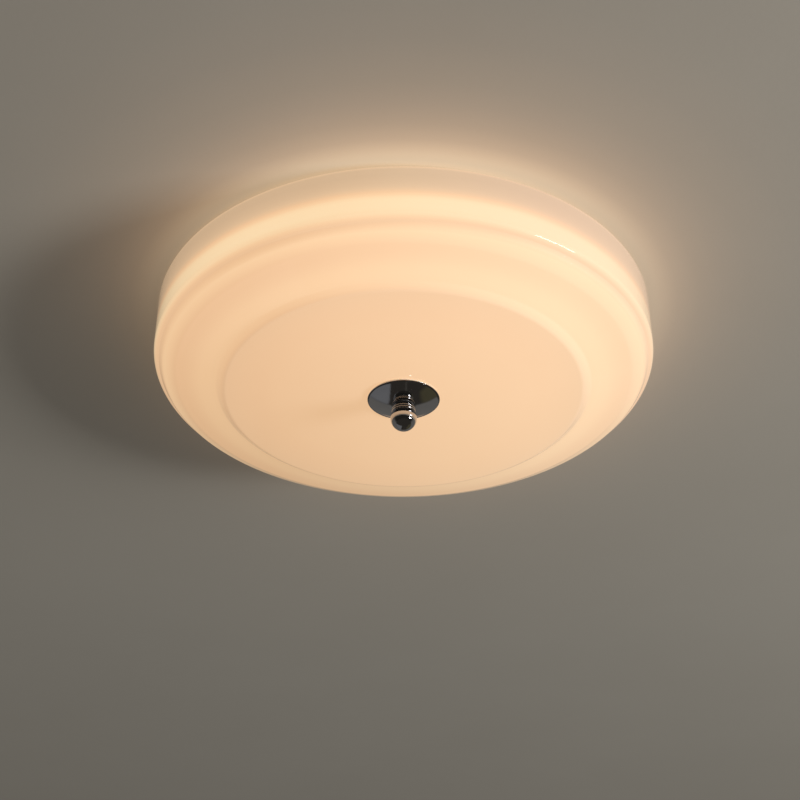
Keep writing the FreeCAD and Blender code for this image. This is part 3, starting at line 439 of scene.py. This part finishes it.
def boardMask():
    # white lamp board: raised copper tracks show faintly under the coating, in rings under the diodes
    material, tree, shader = newMaterial("boardMask")
    place = addNode(tree, "TexCoord").outputs["Object"]
    radius = axisDistance(tree, place)
    track = None
    for ring in board["trackRings"]:
        off = addMath(tree, "ABSOLUTE", addMath(tree, "SUBTRACT", radius, ring * mm))
        here = addMath(tree, "LESS_THAN", off, board["trackHalf"] * mm)
        track = here if track is None else addMath(tree, "MAXIMUM", track, here)
    tone = useGroup(tree, mottle, Base=(*board["mask"], 1), Second=(*board["second"], 1), Scale=40.0)
    colour = addMix(tree, track, tone.outputs["Color"], board["track"])
    setShader(tree, shader, Base_Color=colour, Roughness=0.34, Normal=addBump(tree, track, 0.4, 0.0001))
    return material


def warmDiode():
    # phosphor: yellow at the rim of each diode, glowing at its middle
    material, tree, shader = newMaterial("warmDiode")
    speckle = useGroup(tree, mottle, Base=(0.90, 0.62, 0.16, 1), Second=(0.95, 0.74, 0.28, 1), Scale=900.0)
    lit = useGroup(tree, mottle, Base=(1.0, 0.72, 0.42, 1), Second=(1.0, 0.80, 0.52, 1), Scale=900.0)
    setShader(tree, shader, Base_Color=speckle.outputs["Color"], Roughness=0.5,
              Emission_Color=lit.outputs["Color"], Emission_Strength=14.0)
    return material


def clearLens():
    # moulded lens: clear with fine flow lines, and a warm gleam from the diode under it
    material, tree, shader = newMaterial("clearLens")
    flow = useGroup(tree, hairlines, Stretch=(8.0, 8.0, 30.0), Scale=60.0)
    warm = useGroup(tree, mottle, Base=(0.98, 0.93, 0.84, 1), Second=(0.95, 0.88, 0.76, 1), Scale=300.0)
    setShader(tree, shader, Base_Color=warm.outputs["Color"], Roughness=0.08, Transmission_Weight=0.85, IOR=1.49,
              Normal=addBump(tree, flow.outputs["Mask"], 0.05, 0.0001),
              Emission_Color=warm.outputs["Color"], Emission_Strength=0.35)
    return material


def leadSleeve(name, base, second, stripe=None):
    # drawn insulation, with a stripe along its upper side where there are two colours
    material, tree, shader = newMaterial(name)
    tone = useGroup(tree, mottle, Base=(*base, 1), Second=(*second, 1), Scale=120.0)
    colour = tone.outputs["Color"]
    if stripe:
        height = addNode(tree, "SeparateXYZ", {0: addNode(tree, "NewGeometry").outputs["Normal"]}).outputs["Z"]
        side = addMath(tree, "GREATER_THAN", height, 0.1)
        colour = addMix(tree, side, colour, stripe)
    setShader(tree, shader, Base_Color=colour, Roughness=0.42,
              Normal=addBump(tree, noiseOf(tree, 500.0), 0.1, 0.0002))
    return material


finishes = {
    "zinc_steel": zincPlate(),
    "white_enamel": whiteCoat(),
    "opal_glass": opalGlass(),
    "polished_chrome": darkChrome(),
    "brass": turnedBrass(),
    "clear_silicone": softSilicone(),
    "nylon": mouldedPlastic("blackNylon", (0.03, 0.03, 0.03), (0.045, 0.044, 0.042), 0.5, 600.0),
    "white_plastic": mouldedPlastic("whitePlastic", (0.78, 0.78, 0.75), (0.73, 0.73, 0.70), 0.40, 1200.0),
    "white_solder_mask": boardMask(),
    "led_phosphor": warmDiode(),
    "clear_lens": clearLens(),
    "black_rubber": mouldedPlastic("blackRubber", (0.035, 0.035, 0.035), (0.055, 0.053, 0.05), 0.62, 900.0),
    "lead_brown": leadSleeve("leadBrown", (0.20, 0.085, 0.04), (0.16, 0.065, 0.03)),
    "lead_blue": leadSleeve("leadBlue", (0.045, 0.14, 0.46), (0.035, 0.11, 0.38)),
    "lead_green": leadSleeve("leadGreen", (0.07, 0.33, 0.09), (0.06, 0.27, 0.07), stripe=(0.72, 0.62, 0.06)),
    "lead_red": leadSleeve("leadRed", (0.55, 0.045, 0.035), (0.46, 0.035, 0.03)),
    "lead_black": leadSleeve("leadBlack", (0.03, 0.03, 0.03), (0.045, 0.045, 0.045)),
}
for part in frame["record"]["subparts"]:
    mesh = nodes[part["node"]].data
    mesh.materials.clear()
    mesh.materials.append(finishes[part["material_slot"]])
print("finishes made:", len(finishes))


def dress(piece, body, slotName, *stoodFor):
    piece.data.materials.clear()
    piece.data.materials.append(finishes[slotName])
    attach(piece, body)
    if stoodFor:
        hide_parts(*stoodFor)
    return piece


# glass shade
shade = {
    "bottom": -72.0, "wall": 4.0, "rimRound": 1.4, "around": 288,
    # outside line from the hole to the rim: radius, height above the flat, fillet
    "outline": ((8.0, 0), (142.8, 0, 5.0), (149.2, 4.6, 6.0), (182.0, 12.4, 12.0), (192.6, 17.6, 5.0),
                (195.5, 21.6, 1.5), (200.0, 24.0, 7.5), (200.0, 68.5)),
}
outside = denser(roundCorners(shade["outline"]), 9.0)
inside = thicken(outside, shade["wall"])
rise = shade["rimRound"]
outer, inner = outside[-1], inside[-1]
rimOuter = arcPoints(Vector((outer.x - rise, outer.y - rise)), rise, 0, math.pi / 2, 8)
rimInner = arcPoints(Vector((inner.x + rise, inner.y - rise)), rise, math.pi / 2, math.pi / 2, 8)
loop = outside[:-1] + rimOuter + rimInner + list(reversed(inside[:-1]))
loop = [Vector((p.x, p.y + shade["bottom"])) for p in loop]
glass = dress(lathe("shadeGlass", loop, shade["around"], sharp=50), "shade", "opal_glass", "glass_shade")
print("glass shade:", len(glass.data.vertices), "points")

# cap, held against the glass by the finial
capSizes = {"apex": -78.7, "land": 9.6, "radius": 28.9, "depth": 5.8, "sheet": 0.9, "flat": 1.4, "hole": 4.4,
            "curve": 90.0}
edge = capSizes["radius"] - capSizes["flat"]
lip = capSizes["depth"] - capSizes["sheet"]
under = bulge((capSizes["land"], 0), (edge, lip), capSizes["curve"], 1, 24)
inner = (edge - capSizes["sheet"], capSizes["depth"])
rolled = roundCorners([(edge, lip), (capSizes["radius"], lip, 0.4), (capSizes["radius"], capSizes["depth"], 0.3),
                       inner], 6)[1:]
over = bulge(inner, (capSizes["land"], capSizes["sheet"]), capSizes["curve"], -1, 24)
loop = [Vector((capSizes["hole"], 0))] + under + rolled + over + [Vector((capSizes["hole"], capSizes["sheet"]))]
loop = [Vector((p.x, p.y + capSizes["apex"])) for p in loop]
dress(lathe("dishedCap", loop, 192, sharp=30), "cap", "polished_chrome", "cover_cap")

# ball finial with its beaded neck
ball = {"centre": -90.9, "radius": 10.5, "neck": 8.9, "beads": 2, "bead": 1.15, "pitch": 1.9, "collar": 8.3,
        "top": -79.5, "bore": 6.05, "boreEnd": -94.1}
joint = ball["centre"] + math.sqrt(ball["radius"] ** 2 - ball["neck"] ** 2)
sweep = math.pi / 2 + math.asin((joint - ball["centre"]) / ball["radius"])
line = arcPoints(Vector((0, ball["centre"])), ball["radius"], -math.pi / 2, sweep, 40)
line[0].x = 0.0
for n in range(ball["beads"]):
    low, high = joint + ball["pitch"] * n, joint + ball["pitch"] * (n + 1)
    line += bulge((ball["neck"], low), (ball["neck"], high), ball["bead"], 1, 10)
shoulder = joint + ball["pitch"] * ball["beads"]
line += roundCorners([(ball["neck"], shoulder), (ball["collar"], shoulder), (ball["collar"], ball["top"], 0.3),
                      (ball["bore"], ball["top"])], 5)
line += [Vector((ball["bore"], ball["boreEnd"])), Vector((0, ball["boreEnd"]))]
dress(lathe("ballAndNeck", line, 128, closed=False, sharp=30), "finial", "polished_chrome", "ball_finial")
print("cap and finial ready")

# threaded rod
rod = {"bottom": -92.0, "top": -0.8, "radius": 4.0, "root": 3.38, "pitch": 1.25, "around": 32, "chamfer": 0.6,
       "bevel": 0.3, "flank": 0.42, "tip": 0.08, "sunk": 0.02}  # flank and tip are shares of the pitch


def threadedRod():
    # a plain core, and a thread that winds up it and is sunk a little into it
    root, bevel = rod["root"], rod["bevel"]
    core = lathe("threadedRod", [Vector(p) for p in (
        (0, rod["bottom"]), (root - bevel, rod["bottom"]), (root, rod["bottom"] + bevel),
        (root, rod["top"] - bevel), (root - bevel, rod["top"]), (0, rod["top"]))], rod["around"], closed=False)
    turns = (rod["top"] - rod["bottom"] - 2 * rod["chamfer"]) / rod["pitch"] - 1
    steps = int(turns * rod["around"])
    flank = rod["pitch"] * rod["flank"]
    tip = rod["pitch"] * rod["tip"]
    base = root - rod["sunk"]
    verts, faces = [], []
    for i in range(steps + 1):
        turn = 2 * math.pi * i / rod["around"]
        height = rod["bottom"] + rod["chamfer"] + rod["pitch"] * (0.5 + i / rod["around"])
        grown = min(1.0, i / rod["around"] * 2, (steps - i) / rod["around"] * 2)
        crest = root + (rod["radius"] - root) * grown
        for radius, shift in ((base, -flank - tip), (crest, -tip), (crest, tip), (base, flank + tip)):
            verts.append((radius * mm * math.cos(turn), radius * mm * math.sin(turn), (height + shift) * mm))
        if i:
            a, b = (i - 1) * 4, i * 4
            faces += [(a + k, b + k, b + k + 1, a + k + 1) for k in range(3)]
    thread = makeObject("thread", verts, faces, 20)
    with bpy.context.temp_override(active_object=core, selected_editable_objects=[core, thread]):
        bpy.ops.object.join()
    return core


dress(threadedRod(), "ceiling_part", "zinc_steel", "centre_rod")
print("rod threaded")

# ceiling board, light and background
stageSizes = {
    # in metres
    "hole": 0.184, "half": 3.0, "height": 0.0006, "around": 96, "aim": (0.0, 0.0, -0.045),
    "colour": (0.345, 0.328, 0.292), "second": (0.335, 0.318, 0.282),
    # painted light: the warm glow that the lit wall throws on the ceiling, painted on the board as emission: radius
    # and colour
    "haloFrom": 0.2, "haloSpan": 0.5,
    "halo": ((0.2, (0.33, 0.235, 0.145)), (0.207, (0.325, 0.22, 0.13)), (0.213, (0.285, 0.183, 0.104)),
             (0.2228, (0.205, 0.124, 0.068)), (0.24, (0.138, 0.080, 0.042)), (0.26, (0.096, 0.055, 0.029)),
             (0.28, (0.068, 0.039, 0.020)), (0.32, (0.037, 0.021, 0.011)), (0.36, (0.022, 0.013, 0.007)),
             (0.40, (0.015, 0.0085, 0.0045)), (0.50, (0.007, 0.004, 0.002)), (0.70, (0.0, 0.0, 0.0))),
    # the painted glow is strongest in front and weak at both sides
    "haloEven": 1.0, "haloFront": 0.45, "haloRight": 0.21, "haloSides": 0.59,
}


def ceilingBoard():
    # a pale board with a round gap over the pan, so that light also reaches the top of the part
    corners, inner, around = [], [], stageSizes["around"]
    for k in range(around):
        turn = 2 * math.pi * k / around
        c, s = math.cos(turn), math.sin(turn)
        far = stageSizes["half"] / max(abs(c), abs(s))
        inner.append((stageSizes["hole"] * c, stageSizes["hole"] * s, stageSizes["height"]))
        corners.append((far * c, far * s, stageSizes["height"]))
    faces = [((k + 1) % around, (k + 1) % around + around, k + around, k) for k in range(around)]
    plate = makeObject("ceilingBoard", inner + corners, faces)
    material, tree, shader = newMaterial("paleCeiling")
    tone = useGroup(tree, mottle, Base=(*stageSizes["colour"], 1), Second=(*stageSizes["second"], 1), Scale=3.0)
    place = addNode(tree, "TexCoord").outputs["Object"]
    radius = addNode(tree, "VectorMath", {0: place}, operation="LENGTH").outputs["Value"]
    # painted light: the halo is emission painted on the board by distance from the axis and by direction
    start, span = stageSizes["haloFrom"], stageSizes["haloSpan"]
    reach = addRamp(tree, addMath(tree, "MULTIPLY", addMath(tree, "SUBTRACT", radius, start), 1 / span),
                    [((stop - start) / span, colour) for stop, colour in stageSizes["halo"]])
    way = addNode(tree, "VectorMath", {0: place}, operation="NORMALIZE").outputs[0]
    x, y = addNode(tree, "SeparateXYZ", {0: way}).outputs[:2]
    share = addMath(tree, "SUBTRACT", stageSizes["haloEven"], addMath(tree, "MULTIPLY", y, stageSizes["haloFront"]))
    share = addMath(tree, "ADD", share, addMath(tree, "MULTIPLY", x, stageSizes["haloRight"]))
    sides = addMath(tree, "MULTIPLY", addMath(tree, "MULTIPLY", x, x), stageSizes["haloSides"])
    halo = addMix(tree, 1.0, reach, addMath(tree, "SUBTRACT", share, sides), "MULTIPLY")
    setShader(tree, shader, Base_Color=tone.outputs["Color"], Roughness=0.9, Specular_IOR_Level=0.1,
              Emission_Color=halo, Emission_Strength=1.0,
              Normal=addBump(tree, noiseOf(tree, 220.0, 4.0), 0.10, 0.0006))
    # clear from above, so that the board doesn't shade the part's top
    output = next(n for n in tree.nodes if n.type == "OUTPUT_MATERIAL")
    seen = addNode(tree, "NewGeometry").outputs["Backfacing"]
    clear = addNode(tree, "BsdfTransparent").outputs[0]
    both = addNode(tree, "MixShader", {0: seen, 1: shader.outputs[0], 2: clear})
    tree.links.new(both.outputs[0], output.inputs["Surface"])
    plate.data.materials.append(material)


ceilingBoard()


def softPanel(name, way, distance, size, power, colour, mirrored):
    # way points from the aim towards the panel
    aim = Vector(stageSizes["aim"])
    lamp = bpy.data.lights.new(name, "AREA")
    lamp.shape = "RECTANGLE"
    lamp.size, lamp.size_y = size
    lamp.energy = power
    lamp.color = colour
    panel = bpy.data.objects.new(name, lamp)
    bpy.context.scene.collection.objects.link(panel)
    panel.location = aim + Vector(way).normalized() * distance
    panel.rotation_mode = "QUATERNION"
    panel.rotation_quaternion = Vector(way).to_track_quat("Z", "Y")
    panel.visible_camera = False
    panel.visible_glossy = mirrored


panels = {
    # the window to the right makes the shadow; the strip is what glass and metal mirror of it
    "windowSide": {"way": (0.905, -0.29, -0.31), "distance": 3.1, "size": (1.0, 0.56), "power": 82.0,
                   "colour": (1.0, 0.97, 0.93), "mirrored": False},
    "windowStrip": {"way": (0.85, -0.47, -0.22), "distance": 1.6, "size": (0.5, 0.15), "power": 4.0,
                    "colour": (1.0, 0.98, 0.95), "mirrored": True},
}
for name, values in panels.items():
    softPanel(name, **values)

background = {
    "light": (0.265, 0.256, 0.243),  # what lights the lamp from all sides
    "pale": (0.74, 0.72, 0.69),  # what the camera sees behind it
    "far": (0.150, 0.142, 0.130), "near": (0.022, 0.020, 0.017), "floor": (0.034, 0.030, 0.025),
    "window": (0.165, 0.165, 0.168), "cloth": (0.075, 0.066, 0.038), "gleam": (0.068, 0.062, 0.052),
    # ends of each soft edge, along the mirrored way: x to the right, y to the back, z up
    "farFrom": (-0.25, 0.25), "floorTo": (-0.56, -0.47), "aheadFrom": (0.1, 0.25), "windowTo": (-0.235, -0.21),
    "clothFrom": (0.23, 0.30), "clothAbove": (-0.86, -0.78), "slit": 0.045, "slitHalf": 0.012,
}


def paleWorld():
    # the metal mirrors a dim room: near and far side, floor, a window to the left, a gleam, cloth to the right
    world = bpy.data.worlds.new("paleRoom")
    bpy.context.scene.world = world
    world.use_nodes = True
    tree = world.node_tree
    tree.nodes.clear()
    ray = addNode(tree, "LightPath")
    x, y, z = addNode(tree, "SeparateXYZ", {0: addNode(tree, "TexCoord").outputs["Generated"]}).outputs
    room = addMix(tree, addStep(tree, y, *background["farFrom"]), background["near"], background["far"])
    low = addMath(tree, "SUBTRACT", 1.0, addStep(tree, z, *background["floorTo"]))
    room = addMix(tree, low, room, background["floor"])
    left = addMath(tree, "SUBTRACT", 1.0, addStep(tree, x, *background["windowTo"]))
    right = addStep(tree, x, *background["clothFrom"])
    right = addMath(tree, "MULTIPLY", right, addStep(tree, z, *background["clothAbove"]))
    fromSlit = addMath(tree, "ABSOLUTE", addMath(tree, "SUBTRACT", x, background["slit"]))
    slit = addMath(tree, "LESS_THAN", fromSlit, background["slitHalf"])
    # these three show only low down on the far side
    ahead = addMath(tree, "MULTIPLY", low, addStep(tree, y, *background["aheadFrom"]))
    for share, colour in ((left, "window"), (right, "cloth"), (slit, "gleam")):
        room = addMix(tree, addMath(tree, "MULTIPLY", ahead, share), room, background[colour])
    lit = addMix(tree, ray.outputs["Is Glossy Ray"], background["light"], room)
    seen = addMath(tree, "MAXIMUM", ray.outputs["Is Camera Ray"], ray.outputs["Is Transmission Ray"])
    lit = addMix(tree, seen, lit, background["pale"])
    back = addNode(tree, "Background", {"Color": lit, "Strength": 1.0})
    addNode(tree, "OutputWorld", {"Surface": back.outputs[0]})


paleWorld()
print("stage, panels and background ready")

# camera: below and in front, as in the photograph
view = {"below": 32.85, "away": 1.2257, "aim": (0.0, 0.0, -0.072), "focal": 1536.0, "frame": 800.0,
        "middle": (403.6, 398.5), "sensor": 36.0, "nearest": 0.01}
camera = bpy.data.objects.new("camera", bpy.data.cameras.new("camera"))
bpy.context.scene.collection.objects.link(camera)
tilt = math.radians(view["below"])
forward = Vector((0, math.cos(tilt), math.sin(tilt)))
right = Vector((1, 0, 0))
upward = right.cross(forward)
offset = [(view["middle"][k] - view["frame"] / 2) / view["focal"] for k in range(2)]
look = forward - right * offset[0] + upward * offset[1]
camera.location = Vector(view["aim"]) - forward * view["away"]
camera.rotation_mode = "QUATERNION"
camera.rotation_quaternion = look.to_track_quat("-Z", "Y")
camera.data.sensor_width = view["sensor"]
camera.data.lens = view["sensor"] * view["focal"] / view["frame"]
camera.data.clip_start = view["nearest"]
bpy.context.scene.camera = camera
bpy.context.scene.view_settings.view_transform = "Standard"
